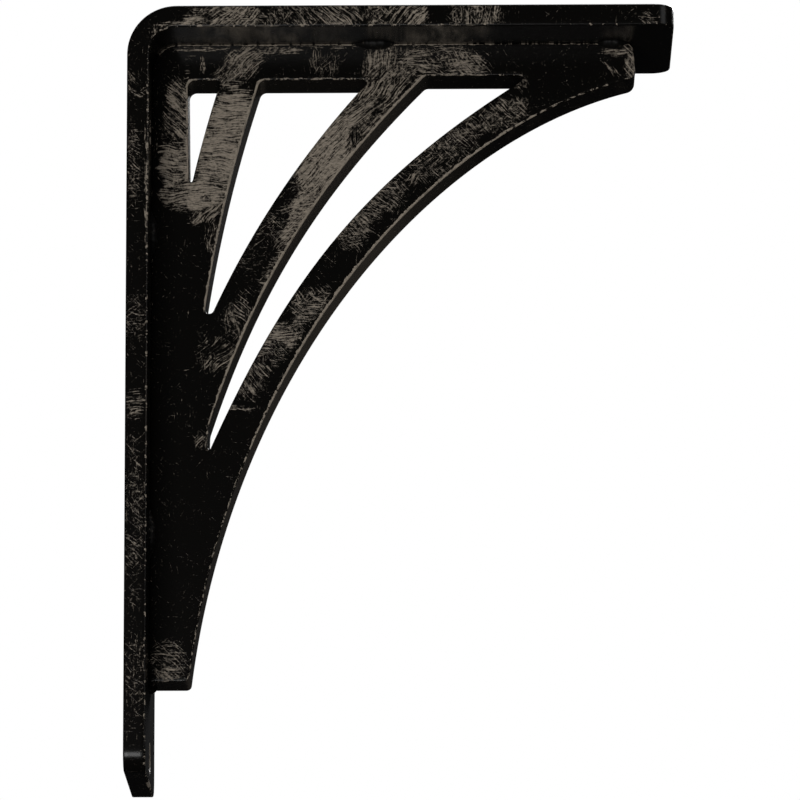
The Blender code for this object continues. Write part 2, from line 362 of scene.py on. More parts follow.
def inset(points, depth):
    """Move a closed outline to the left of its way by depth."""
    moved = []
    for index, here in enumerate(points):
        before = (here - points[index - 1]).normalized()
        after = (points[(index + 1) % len(points)] - here).normalized()
        left = Vector((-before.y - after.y, before.x + after.x)).normalized()
        stretch = left.dot(Vector((-before.y, before.x)))
        moved.append(here + left * (depth / stretch))
    return moved


def ring(centre, radius, steps):
    """Points of a circle, clockwise."""
    angles = [-2 * math.pi * step / steps for step in range(steps)]
    return [centre + radius * Vector((math.cos(angle), math.sin(angle))) for angle in angles]


def plate_outline(bar):
    """Outer edge of the plate, anticlockwise from its corner in the bend."""
    near_wall = bar.thickness / MM
    foot_drop = -163.5
    corner = point(near_wall, -near_wall)
    foot_inner, foot_outer = point(near_wall, foot_drop), point(15.0, foot_drop)
    nose_low, nose_top = point(123.9, -14.1), point(123.1, -near_wall)
    outer_edge = handled_curve(foot_outer, nose_low, leans=(6.7, 77.2), handles=(80.9, 50.5))
    return outline(
        (
            (line(corner, foot_inner), 0.0),
            (line(foot_inner, foot_outer), 1.3),
            (outer_edge, 2.4),
            (line(nose_low, nose_top), 2.2),
            (line(nose_top, corner), 6.6),
        )
    )


def first_window():
    """Narrow window between the wall band and the first strut."""
    top_left, top_right, tip = point(14.0, -14.3), point(22.2, -14.3), point(14.4, -43.9)
    left, right = line(top_left, tip), arc(tip, top_right, 0.4 * MM)
    return outline(((left, 0.5), (right, 0.8), (line(top_right, top_left), 1.8)))


def second_window():
    """Middle window between the two struts."""
    top_left, top_right, tip = point(31.8, -14.3), point(58.8, -14.3), point(17.5, -79.2)
    left, right = arc(top_left, tip, -1.6 * MM), arc(tip, top_right, 3.4 * MM)
    return outline(((left, 1.05), (right, 0.8), (line(top_right, top_left), 1.8)))


def third_window():
    """Long window between the second strut and the outer strut, blunt at its lower end."""
    top_left, top_right = point(72.2, -13.4), point(98.1, -13.4)
    blunt, tip = point(19.4, -100.8), point(19.2, -108.0)
    left = handled_curve(blunt, top_left, leans=(17.8, 44.9), handles=(35.9, 38.4))
    right = handled_curve(tip, top_right, leans=(23.5, 57.9), handles=(50.2, 46.1))
    lower_end, upper_end = line(blunt, tip), line(top_right, top_left)
    return outline(((left[::-1], 3.0), (lower_end, 0.4), (right, 0.8), (upper_end, 1.8)))


class Slab:
    """Fine closed mesh of a slab drawn flat: an anticlockwise outline, then those of its holes."""

    def __init__(self, outlines, thickness, arris, grain):
        self.outlines = [divided(points, grain) for points in outlines]
        self.thickness = thickness
        self.arris = arris
        self.grain = grain
        self.flat = []
        self.faces = []
        self.lays = []
        rings = [self.rim(points) for points in self.outlines]
        self.rim_faces = len(self.faces)
        self.cap_pair(rings)

    def profile(self):
        """(inset, depth) of each ring from the near face, over both rounded arrises, to the far face."""
        angles = [math.pi / 2 * step / ARRIS_STEPS for step in range(ARRIS_STEPS + 1)]
        rounded = [(self.arris * (1 - math.sin(a)), self.arris * (1 - math.cos(a))) for a in angles]
        straight = self.thickness - 2 * self.arris
        steps = math.ceil(straight / self.grain)
        side = [(0.0, self.arris + straight * step / steps) for step in range(1, steps)]
        return rounded + side + [(moved, self.thickness - depth) for moved, depth in reversed(rounded)]

    def rim(self, points):
        """The rings of one outline and the faces between them; returns the first and the last ring."""
        rings = []
        across = [0.0]
        profile = self.profile()
        for before, after in zip(profile, profile[1:]):
            across.append(across[-1] + math.dist(before, after))
        for moved, depth in profile:
            first = len(self.flat)
            self.flat.extend((p.x, p.y, depth) for p in inset(points, moved))
            rings.append(range(first, first + len(points)))
        along = [0.0]
        for index, here in enumerate(points):
            along.append(along[-1] + (points[(index + 1) % len(points)] - here).length)
        for level, (lower, upper) in enumerate(zip(rings, rings[1:])):
            for index in range(len(points)):
                following = (index + 1) % len(points)
                self.faces.append((lower[index], upper[index], upper[following], lower[following]))
                left, right = along[index], along[index + 1]
                low, high = across[level], across[level + 1]
                self.lays.append(((left, low), (left, high), (right, high), (right, low)))
        return rings[0], rings[-1]

    def edge_arrays(self):
        starts = np.array([p for points in self.outlines for p in points])
        ends = np.array([p for points in self.outlines for p in [*points[1:], points[0]]])
        return starts, ends

    @staticmethod
    def inside(places, starts, ends):
        """True for each place that the closed lines from starts to ends go round."""
        (sx, sy), (ex, ey) = starts.T, ends.T
        found = []
        for chunk in np.array_split(places, max(1, len(places) // 2000)):
            x, y = chunk[:, :1], chunk[:, 1:]
            crosses = (sy > y) != (ey > y)
            with np.errstate(divide="ignore", invalid="ignore"):
                beyond = x < sx + (y - sy) * (ex - sx) / (ey - sy)
            found.append((crosses & beyond).sum(axis=1) % 2 == 1)
        return np.concatenate(found)

    def nearest_edge(self, places):
        """Distance from each flat place to the outlines, and the outward direction there."""
        starts, ends = self.edge_arrays()
        middles = (starts + ends) / 2
        tree = KDTree(len(middles))
        for index, (x, y) in enumerate(middles):
            tree.insert((x, y, 0.0), index)
        tree.balance()
        nearest = np.array([tree.find((x, y, 0.0))[1] for x, y in places])
        runs = (ends - starts)[nearest]
        outward = np.column_stack([runs[:, 1], -runs[:, 0]]) / np.linalg.norm(runs, axis=1)[:, None]
        gaps = -((places - starts[nearest]) * outward).sum(axis=1)
        return np.clip(gaps, 0, None), outward

    def filling(self):
        """Places inside the outlines, in rows with every second row shifted by half a step."""
        starts, _ = self.edge_arrays()
        low, high = starts.min(axis=0), starts.max(axis=0)
        rows = np.arange(low[1], high[1], self.grain * math.sin(math.pi / 3))
        columns = np.arange(low[0], high[0], self.grain)
        shift = (np.arange(len(rows)) % 2 * self.grain / 2)[:, None]
        places = np.stack(np.broadcast_arrays(columns + shift, rows[:, None]), axis=-1).reshape(-1, 2)
        places = places[self.inside(places, *self.edge_arrays())]
        return places[self.nearest_edge(places)[0] > self.arris + 0.6 * self.grain]

    def cap_pair(self, rings):
        """Triangles over the near and the far face, with the same pattern on both."""
        flat = np.array(self.flat)
        filling = self.filling()
        border = np.concatenate([np.array(near) for near, _ in rings])
        spots = [Vector(place) for place in np.concatenate([flat[border, :2], filling]) / MM]
        places = np.array(spots)
        edges = []
        first = 0
        for near, _ in rings:
            edges.extend((first + index, first + (index + 1) % len(near)) for index in range(len(near)))
            first += len(near)
        made = delaunay_2d_cdt(spots, edges, [], 0, 1e-6, False)
        if len(made[0]) != len(places):
            raise RuntimeError("the face's triangles need points that its outlines don't have")
        triangles = np.array(made[2])
        corners = places[triangles] * MM
        one, two = corners[:, 1] - corners[:, 0], corners[:, 2] - corners[:, 0]
        turned = one[:, 0] * two[:, 1] - one[:, 1] * two[:, 0] < 0
        triangles[turned] = triangles[turned][:, ::-1]
        starts, ends = places[np.array(edges).T]
        triangles = triangles[self.inside(places[triangles].mean(axis=1), starts, ends)]
        for side, depth in ((0, 0.0), (1, self.thickness)):
            numbers = np.concatenate([np.array(pair[side]) for pair in rings])
            added = np.arange(len(filling)) + len(self.flat)
            self.flat.extend((x, y, depth) for x, y in filling)
            numbers = np.concatenate([numbers, added])
            for triangle in triangles:
                order = triangle if side == 0 else triangle[::-1]
                self.faces.append(tuple(int(number) for number in numbers[order]))
                self.lays.append([tuple(places[corner] * MM + FACE_SHIFT * (side + 1)) for corner in order])


class Brushed:
    """How much level, rising, upright and falling strokes take off, from 0 to 1; later patches win.

    Places are (reach, drop) in millimetres.
    """

    def __init__(self, places, everywhere):
        self.places = places
        self.amounts = np.full((len(places), 4), everywhere)

    def patch(self, middle, half_size, tilt=0, level=0.0, rising=0.0, upright=0.0, falling=0.0):
        """Lay an oval patch, with its tilt in degrees; it fades out from 0.75 to 1.5 of its half size."""
        offset = self.places - middle
        c, s = math.cos(math.radians(tilt)), math.sin(math.radians(tilt))
        along = (offset[:, 0] * c + offset[:, 1] * s) / half_size[0]
        across = (offset[:, 1] * c - offset[:, 0] * s) / half_size[1]
        share = np.clip(2 - np.hypot(along, across) / 0.75, 0, 1)[:, None]
        share = share * share * (3 - 2 * share)
        self.amounts += share * (np.array((level, rising, upright, falling)) - self.amounts)


def shelf_band_wear(patch):
    """Band under the shelf leg: heavy where the struts meet it, sound black between."""
    patch((17.7, -6.5), (6.4, 0.7), level=0.75, rising=0.2, falling=0.2)
    patch((17.7, -10.5), (0.6, 2.2), upright=0.9)
    patch((26.8, -10.8), (6.6, 3.7), tilt=35, level=0.35, rising=0.75, upright=0.2, falling=0.35)
    patch((27.5, -15.2), (2.2, 1.2), rising=0.3, falling=0.25)
    patch((36.6, -7.0), (5.4, 1.0), level=0.6, rising=0.5, falling=0.3)
    patch((47.4, -10.2), (3.7, 3.2), rising=0.4, upright=0.5)
    patch((48.9, -6.2), (6.9, 0.6), level=0.6, falling=0.3)
    patch((62.1, -12.2), (4.9, 6.6), level=0.3, rising=0.4, upright=0.75, falling=0.35)
    patch((69.2, -10.8), (3.9, 4.9), level=0.6, rising=0.5, upright=0.4, falling=0.3)
    patch((79.6, -10.0), (7.8, 3.9), tilt=-12, level=0.66, rising=0.1, falling=0.62)
    patch((95.7, -15.2), (1.7, 2.2), level=0.35, rising=0.1, upright=0.3, falling=0.45)
    patch((119.8, -7.2), (3.4, 1.7), level=0.75, rising=0.2, falling=0.35)
    patch((117.5, -11.5), (3.6, 0.5), tilt=-38, falling=0.75)
    patch((122.4, -10.8), (1.3, 3.6), upright=0.45, falling=0.75)


def first_strut_wear(patch):
    """First strut, brushed almost bare down to below the first window's tip."""
    patch((23.4, -29.8), (13.7, 6.1), tilt=76, level=1.0, rising=0.1, falling=0.1)
    patch((19.0, -43.5), (7.4, 3.7), tilt=8, level=0.95, rising=0.5, falling=0.2)
    patch((21.7, -40.2), (2.2, 1.2), tilt=-30, level=0.7, falling=0.35)
    patch((18.5, -48.5), (3.9, 1.7), tilt=20, level=0.2, rising=0.75, upright=0.1, falling=0.1)
    patch((23.4, -52.2), (8.3, 0.7), tilt=77, level=0.5, rising=0.3, upright=0.5, falling=0.2)
    patch((19.9, -53.8), (2.2, 3.4), level=0.1, rising=0.3, upright=0.45, falling=0.1)


def wall_band_wear(patch):
    """Band beside the wall leg: fine strokes that start at the first window."""
    patch((13.9, -27.2), (13.7, 0.7), tilt=90, level=0.95, upright=0.2, falling=0.3)
    patch((11.4, -18.0), (2.4, 4.0), level=0.2, rising=0.1, upright=0.2, falling=0.7)
    patch((10.7, -25.5), (3.2, 4.5), level=0.35, rising=0.1, falling=0.75)
    patch((10.4, -35.0), (3.6, 5.2), level=0.8, rising=0.1, falling=0.4)
    patch((10.9, -43.2), (3.4, 3.2), level=0.8, rising=0.2, falling=0.2)
    patch((6.1, -29.2), (15.2, 0.4), tilt=90, upright=0.5)


def second_strut_wear(patch):
    """Second strut: mottled above, bare at half height, then black with single strokes."""
    patch((59.7, -21.2), (8.3, 6.6), tilt=47, level=0.3, rising=0.72, upright=0.25, falling=0.2)
    patch((49.4, -33.8), (10.8, 6.4), tilt=52, level=0.5, rising=0.95, upright=0.2, falling=0.2)
    patch((57.2, -26.8), (5.9, 2.0), tilt=52, level=0.2, rising=0.55, upright=0.35, falling=0.2)
    patch((38.6, -44.0), (2.7, 2.0), tilt=50, level=0.1, rising=0.4, falling=0.25)
    patch((40.3, -48.8), (8.8, 2.5), tilt=57, level=0.75, rising=0.8, upright=0.1, falling=0.1)
    patch((34.2, -52.2), (6.4, 2.7), tilt=60, level=0.3, rising=0.3, upright=0.1, falling=0.4)
    patch((31.0, -61.2), (5.9, 4.9), tilt=60, level=0.3, rising=0.15, upright=0.1, falling=0.2)
    patch((34.9, -61.2), (6.9, 1.2), tilt=60, level=0.68, rising=0.35, falling=0.2)
    patch((26.8, -65.8), (3.4, 2.9), level=0.05, rising=0.1, falling=0.15)
    patch((26.3, -74.8), (3.2, 6.4), tilt=-15, level=0.15, rising=0.15, upright=0.35, falling=0.54)
    patch((21.7, -82.2), (6.0, 4.2), tilt=30, level=0.1, rising=0.48, upright=0.25, falling=0.05)


def outer_strut_wear(patch):
    """Outer strut: crossing strokes with black gaps, and one bare stretch low down."""
    patch((91.8, -23.2), (6.4, 3.2), tilt=30, level=0.35, rising=0.4, upright=0.2, falling=0.5)
    patch((75.1, -32.2), (12.8, 5.2), tilt=38, level=0.35, rising=0.5, upright=0.15, falling=0.42)
    patch((61.2, -43.2), (5.9, 4.9), tilt=42, level=0.5, rising=0.3, upright=0.1, falling=0.55)
    patch((54.3, -51.5), (5.4, 4.9), tilt=48, level=0.5, rising=0.2, upright=0.1, falling=0.55)
    patch((45.5, -61.2), (5.2, 3.9), tilt=52, rising=0.05, falling=0.1)
    patch((43.7, -70.2), (4.2, 3.4), tilt=30, level=0.3, rising=0.5, falling=0.55)
    patch((36.9, -78.2), (4.9, 3.2), level=0.75, rising=0.1, falling=0.4)
    patch((43.2, -73.8), (8.3, 2.0), tilt=55, level=0.6, rising=0.25, falling=0.4)
    patch((34.2, -83.5), (4.4, 2.9), tilt=20, level=0.5, rising=0.1, upright=0.1, falling=0.4)
    patch((30.2, -89.5), (5.2, 3.2), tilt=62, level=0.15, rising=0.05, upright=0.3, falling=0.6)
    patch((25.6, -96.2), (4.9, 0.7), tilt=-8, level=0.8, falling=0.1)
    patch((18.0, -104.2), (2.5, 2.5), level=0.1, rising=0.4, upright=0.3, falling=0.3)


def foot_wear(patch):
    """Foot of the plate, brushed level."""
    patch((10.1, -158.8), (4.4, 5.5), level=0.44, rising=0.26, falling=0.44)


def shelf_side_wear(patch):
    """Side of the shelf leg: bare by the bend, single strokes along the middle, black end."""
    patch((26.0, -2.5), (8.7, 4.5), level=0.52, rising=0.7, upright=0.23, falling=0.23)
    patch((41.0, -2.3), (7.3, 4.5), level=0.23, rising=0.29, upright=0.23, falling=0.49)
    patch((53.0, -2.3), (5.8, 4.5), level=0.06, rising=0.06, upright=0.29, falling=0.74)
    patch((61.9, -2.3), (3.9, 4.5), level=0.29, rising=0.41, upright=0.35, falling=0.35)
    patch((69.2, -2.3), (3.6, 4.5), level=0.23, rising=0.75, upright=0.29)
    patch((77.7, -2.3), (1.0, 4.5), level=0.11, rising=0.11, falling=0.11)
    patch((85.0, -2.3), (6.1, 4.5), level=0.38, rising=0.29, upright=0.52, falling=0.45)
    patch((126.5, -3.8), (2.4, 1.4), tilt=-35, level=0.3, falling=0.5)
    patch((12.9, -4.3), (5.8, 0.9), tilt=8, level=0.77, rising=0.35)
    patch((6.6, -7.0), (0.7, 2.2), upright=0.82, falling=0.47)


def wall_side_wear(patch):
    """Side of the wall leg: scattered patches and a smear along the inner arris."""
    patch((2.4, -20.1), (2.9, 3.4), level=0.1, rising=0.1, upright=0.1, falling=0.53)
    patch((1.7, -39.7), (2.2, 9.7), level=0.32, rising=0.21, upright=0.21, falling=0.45)
    patch((4.7, -42.1), (16.0, 0.4), tilt=90, upright=0.85, falling=0.1)
    patch((2.4, -78.0), (2.4, 6.3), level=0.32, rising=0.37, upright=0.21, falling=0.32)
    patch((2.2, -99.1), (2.7, 3.6), level=0.52, rising=0.21, upright=0.1, falling=0.1)
    patch((2.2, -127.5), (2.4, 17.5), level=0.24, rising=0.24, upright=0.28, falling=0.32)
    patch((2.2, -165.0), (2.4, 12.0), level=0.2, rising=0.2, upright=0.3, falling=0.3)


def slab_object(name, slab, place, side_lay, wear):
    """Turn a slab into an object: place puts a flat point in space, side_lay lays out the rim's faces."""
    spots = [place(*flat) for flat in slab.flat]
    mesh = bpy.data.meshes.new(name)
    mesh.from_pydata(spots, [], slab.faces)
    lays = list(slab.lays)
    for index in range(slab.rim_faces):
        lays[index] = side_lay([spots[number] for number in slab.faces[index]], lays[index])
    layer = mesh.uv_layers.new(name="lay")
    layer.data.foreach_set("uv", [value for face in lays for corner in face for value in corner])
    flat = np.array(slab.flat)
    gap, outward = slab.nearest_edge(flat[:, :2])
    depth = np.minimum(flat[:, 2], slab.thickness - flat[:, 2])
    on_face = depth < slab.arris * 0.9
    arris_gap = np.where(depth < slab.arris * 0.01, gap, depth) - slab.arris
    strokes, arris_wear_and_highlight, sheen_haze, cut_face_sheen = wear(np.array(spots), flat, on_face, outward)
    columns = {
        "arris_gap": np.clip(arris_gap, 0, None),
        "arris_wear_and_highlight": arris_wear_and_highlight,
        "sheen_haze": sheen_haze,
        "cut_face_sheen": cut_face_sheen,
    }
    for label, column in columns.items():
        mesh.attributes.new(label, "FLOAT", "POINT").data.foreach_set("value", column.astype(np.float32))
    colour = mesh.attributes.new("strokes", "FLOAT_COLOR", "POINT")
    colour.data.foreach_set("color", strokes.astype(np.float32).ravel())
    mesh.shade_smooth()
    mesh.set_sharp_from_angle(angle=SHARP_ANGLE)
    obj = bpy.data.objects.new(name, mesh)
    bpy.context.scene.collection.objects.link(obj)
    return obj


def bent(bar, u, v, depth):
    """Place a point of the flat bar after bending: u runs up the wall leg, round the bend and out."""
    upright = (TOP - BAR_LOW.z) - bar.bend
    turn = bar.bend * math.pi / 2
    if u < upright:
        return (depth, v, BAR_LOW.z + u)
    if u < upright + turn:
        angle = (u - upright) / bar.bend
        radius = bar.bend - depth
        return (bar.bend - radius * math.cos(angle), v, TOP - bar.bend + radius * math.sin(angle))
    return (bar.bend + u - upright - turn, v, TOP - depth)


def bar_outlines(bar):
    """The bar cut to length and drilled, before bending."""
    length = (BAR_HIGH.z - BAR_LOW.z) + (BAR_HIGH.x - BAR_LOW.x) - 2 * bar.bend + bar.bend * math.pi / 2
    half = BAR_HIGH.y
    corners = [Vector(place) for place in ((0, -half), (length, -half), (length, half), (0, half))]
    radius = bar.end_corner / MM
    rim = outline([(line(corners[index], corners[(index + 1) % 4]), radius) for index in range(4)])
    high = TOP - BAR_LOW.z - bar.high_hole_drop
    holes = ((bar.low_hole_rise, 0.0), (high, -bar.high_hole_aside), (high, bar.high_hole_aside))
    return [rim, *(ring(Vector(hole), bar.screw_hole / 2, HOLE_STEPS) for hole in holes)]


def bar_wear(spots, flat, on_face, outward):
    """Wear of the bar: brushed sides, painted reflection under the shelf leg, a little on the other faces."""
    places = np.column_stack([spots[:, 0], spots[:, 2] - TOP]) / MM
    reach, drop = places.T
    sides = Brushed(places, SIDE_WEAR)
    shelf_side_wear(sides.patch)
    wall_side_wear(sides.patch)
    face_wear = np.where(flat[:, 2:] > 0, INNER_FACE_WEAR, OUTER_FACE_WEAR)
    strokes = np.where(on_face[:, None], face_wear, sides.amounts)
    inner = flat[:, 2] > flat[:, 2].max() / 2
    rubbed = np.interp(-drop, *BAR_ARRIS_WEAR) - np.interp(reach, *BAR_ARRIS_LOSS)
    # Worn rim of the lowest hole, with a painted glint
    foot_hole = (flat[:, 0] < FOOT_HOLE_RISE) & (np.abs(flat[:, 1]) < FOOT_HOLE_ASIDE)
    arris_wear_and_highlight = np.where(inner, np.where(foot_hole, FOOT_HOLE_WEAR_AND_GLINT, rubbed), OUTER_ARRIS_WEAR)
    on_wall_leg = reach < WALL_LEG_REACH
    # Painted reflection in bands under the shelf leg, and a paler band on the wall leg's inner face
    sheen_haze = np.where(on_wall_leg, np.interp(-drop, *WALL_PALER_BAND), np.interp(reach, *UNDERSIDE_REFLECTION))
    return strokes, arris_wear_and_highlight, np.where(on_face & inner, sheen_haze, 0.0), np.zeros(len(spots))


def plate_wear(spots, flat, on_face, outward):
    """Wear of the plate: brushed faces and worn arrises, with painted highlight and sheen on edges facing
    down and out.
    """
    places = np.column_stack([spots[:, 0], spots[:, 2] - TOP]) / MM
    reach, drop = places.T
    faces = Brushed(places, 0.0)
    for area in PLATE_AREAS:
        area(faces.patch)
    strokes = np.where(on_face[:, None], faces.amounts, 0.0)
    # Painted highlight and sheen on edges that face down and away from the wall
    lit_facing = np.clip(outward @ HIGHLIGHT_WAY, 0, 1) ** 2
    loss = np.interp(reach, *PLATE_ARRIS_LOSS) + np.interp(-drop, *LOW_ARRIS_LOSS)
    arris_wear_and_highlight = PLATE_ARRIS_WEAR + FACING_ARRIS_HIGHLIGHT * lit_facing - loss
    seam = np.where(drop > SEAM_DROP, np.interp(reach, *SEAM_ARRIS_WEAR), 0.0)
    nose = np.where(reach > NOSE_REACH, NOSE_ARRIS_WEAR, 0.0)
    arris_wear_and_highlight = np.maximum.reduce((arris_wear_and_highlight, seam, nose))
    # Painted sheen on cut faces that face down and away from the wall, less towards the nose
    cut_face_sheen = np.clip(outward @ CUT_FACE_SHEEN_WAY, 0, 1) ** 6 * np.interp(reach, *CUT_FACE_SHEEN_SHARE)
    return strokes, arris_wear_and_highlight, np.where(on_face, 0.0, CUT_FACE_SHEEN_HAZE * lit_facing), np.where(on_face, 0.0, cut_face_sheen)


PLATE_AREAS = (
    shelf_band_wear,
    first_strut_wear,
    wall_band_wear,
    second_strut_wear,
    outer_strut_wear,
    foot_wear,
)


class Graph:
    """Short ways to add and join the nodes of one tree."""

    def __init__(self, tree):
        self.tree = tree

    def join(self, value, socket):
        if isinstance(value, bpy.types.NodeSocket):
            self.tree.links.new(value, socket)
        else:
            socket.default_value = value

    def node(self, kind, inputs=None, **settings):
        made = self.tree.nodes.new(kind)
        for key, value in settings.items():
            setattr(made, key, value)
        for key, value in (inputs or {}).items():
            self.join(value, made.inputs[key])
        return made

    def math(self, operation, *values, clamp=False):
        inputs = dict(enumerate(values))
        return self.node("ShaderNodeMath", inputs, operation=operation, use_clamp=clamp).outputs[0]

    def ramp(self, value, low, high, to_low=0.0, to_high=1.0):
        """Smooth step of value from low to high."""
        inputs = {"Value": value, "From Min": low, "From Max": high, "To Min": to_low, "To Max": to_high}
        return self.node("ShaderNodeMapRange", inputs, interpolation_type="SMOOTHSTEP").outputs[0]

    def vector(self, operation, inputs):
        return self.node("ShaderNodeVectorMath", inputs, operation=operation).outputs[0]

    def painted(self, name):
        """A number of the mesh's points, in a material."""
        return self.node("ShaderNodeAttribute", attribute_name=name).outputs["Fac"]

    def named(self, name, kind):
        """A value of the mesh's points, in Geometry Nodes."""
        return self.node("GeometryNodeInputNamedAttribute", {"Name": name}, data_type=kind).outputs[0]

    def noise(self, vector, scale, detail=2.0, roughness=0.5):
        inputs = {"Vector": vector, "Scale": scale, "Detail": detail, "Roughness": roughness}
        return self.node("ShaderNodeTexNoise", inputs)

    def mapped(self, vector, turn=0.0, scale=(1, 1, 1), move=(0, 0, 0)):
        inputs = {"Vector": vector, "Location": move, "Rotation": (0, 0, turn), "Scale": scale}
        return self.node("ShaderNodeMapping", inputs).outputs[0]

    def mix(self, factor, first, second):
        """Colour between first and second."""
        made = self.node("ShaderNodeMix", data_type="RGBA")
        for value, number in ((factor, 0), (first, 6), (second, 7)):
            self.join(value, made.inputs[number])
        return made.outputs[2]


def new_material(name):
    material = bpy.data.materials.new(name)
    material.use_nodes = True
    return material, Graph(material.node_tree), material.node_tree.nodes["Principled BSDF"]


def brush_strokes(graph, place, look, amounts):
    """Mask of what the brush strokes take off, from the four directions' amounts."""
    masks = []
    grain = graph.noise(place, scale=1.5, roughness=0.6).outputs["Fac"]
    chop = graph.math("MULTIPLY", graph.math("SUBTRACT", grain, 0.5), look.chop)
    for number, amount in enumerate(amounts):
        turned = graph.mapped(place, -number * math.pi / 4, move=(0, 0, 7.0 * number))
        stretched = graph.mapped(turned, scale=(1 / look.stroke_length, 1 / look.stroke_width, 1))
        field = graph.noise(stretched, scale=1.0, detail=4.0, roughness=0.66).outputs["Fac"]
        blotch = graph.noise(turned, scale=0.16, roughness=0.6).outputs["Fac"]
        blotch = graph.math("MULTIPLY", graph.math("SUBTRACT", blotch, 0.5), BLOTCHES)
        worn = graph.math("MULTIPLY", graph.math("ADD", amount, blotch), WEAR_GAIN)
        margin = graph.math("SUBTRACT", field, graph.math("SUBTRACT", SOUND_START, worn))
        masks.append(graph.ramp(graph.math("ADD", margin, chop), *STROKE_EDGE))
    joined = masks[0]
    for mask in masks[1:]:
        joined = graph.math("MAXIMUM", joined, mask)
    return joined


def arris_line(graph, flat, look):
    """Mask of the pale line of wear and painted highlight along arrises: unbroken where high, dotted where
    low.
    """
    worn = graph.math("SUBTRACT", graph.painted("arris_wear_and_highlight"), 0.5)
    broken = graph.noise(flat, scale=0.6, detail=3.0, roughness=0.7).outputs["Fac"]
    broken = graph.math("SUBTRACT", broken, 0.5)
    width = graph.math("MULTIPLY", worn, look.arris_line)
    width = graph.math("ADD", width, graph.math("MULTIPLY", broken, look.arris_breaks))
    return graph.ramp(graph.math("SUBTRACT", width, graph.painted("arris_gap")), *ARRIS_EDGE)


def worn_lacquer(look):
    """Near-black lacquer brushed through to warm grey iron in strokes and along arrises, paled by painted
    reflection.
    """
    material, graph, shader = new_material("worn_lacquer")
    lay = graph.node("ShaderNodeUVMap", uv_map="lay").outputs["UV"]
    flat = graph.vector("SCALE", {0: lay, "Scale": 1 / MM})
    drift = graph.noise(flat, scale=0.13, detail=1.0).outputs["Color"]
    drift = graph.vector("SUBTRACT", {0: drift, 1: (0.5, 0.5, 0.5)})
    drift = graph.vector("SCALE", {0: drift, "Scale": look.drift})
    place = graph.vector("ADD", {0: flat, 1: drift})

    strokes = graph.node("ShaderNodeAttribute", attribute_name="strokes")
    parts = graph.node("ShaderNodeSeparateColor", {"Color": strokes.outputs["Color"]}).outputs
    brushed = brush_strokes(graph, place, look, (*parts, strokes.outputs["Alpha"]))
    bare = graph.math("MAXIMUM", brushed, arris_line(graph, flat, look))

    tone = graph.mapped(place, turn=0.5, scale=(0.8, 2.6, 1))
    tone = graph.noise(tone, scale=1.0, detail=4.0, roughness=0.7).outputs["Fac"]
    iron_dark = [channel * look.iron_streaks for channel in look.iron] + [1.0]
    iron = graph.mix(graph.ramp(tone, 0.36, 0.58), iron_dark, [*look.iron, 1.0])
    # Painted reflection and sheen: streaks that pale the lacquer towards the iron's colour
    reflection_streak = graph.mapped(flat, scale=(0.28, 0.06, 1))
    reflection_streak = graph.noise(reflection_streak, scale=1.0, detail=4.0, roughness=0.65).outputs["Fac"]
    sheen_streaks = graph.math("MULTIPLY", graph.painted("sheen_haze"), graph.ramp(reflection_streak, 0.42, 0.66, 0.0, look.sheen_haze))
    cut_face_sheen = graph.math("MULTIPLY", graph.painted("cut_face_sheen"), look.cut_face_sheen_strength)
    cut_face_sheen = graph.math("MULTIPLY", cut_face_sheen, graph.math("MULTIPLY_ADD", tone, 1.2, 0.4))
    painted_sheen = graph.math("MAXIMUM", sheen_streaks, cut_face_sheen)
    lacquer = graph.mix(painted_sheen, [*look.lacquer, 1.0], [*look.iron, 1.0])
    graph.join(graph.mix(bare, lacquer, iron), shader.inputs["Base Color"])
    graph.join(graph.ramp(bare, 0.0, 1.0, look.gloss, look.worn_gloss), shader.inputs["Roughness"])
    shader.inputs["Specular IOR Level"].default_value = look.specular
    height = graph.math("ADD", graph.math("MULTIPLY", bare, -1.0), graph.math("MULTIPLY", tone, 0.35))
    bump = graph.node("ShaderNodeBump", {"Height": height, "Distance": 0.05 * MM, "Strength": 0.5})
    graph.join(bump.outputs["Normal"], shader.inputs["Normal"])
    return material


def weld_lacquer(look):
    """Sound lacquer over the welds, a little rubbed on the ripples."""
    material, graph, shader = new_material("weld_lacquer")
    place = graph.node("ShaderNodeTexCoord").outputs["Object"]
    speck = graph.noise(place, scale=900.0, detail=3.0, roughness=0.6).outputs["Fac"]
    rubbed = graph.ramp(speck, 0.6, 0.72, 0.0, 0.3)
    graph.join(graph.mix(rubbed, [*look.lacquer, 1.0], [*look.iron, 1.0]), shader.inputs["Base Color"])
    shader.inputs["Roughness"].default_value = look.worn_gloss
    shader.inputs["Specular IOR Level"].default_value = look.specular
    return material


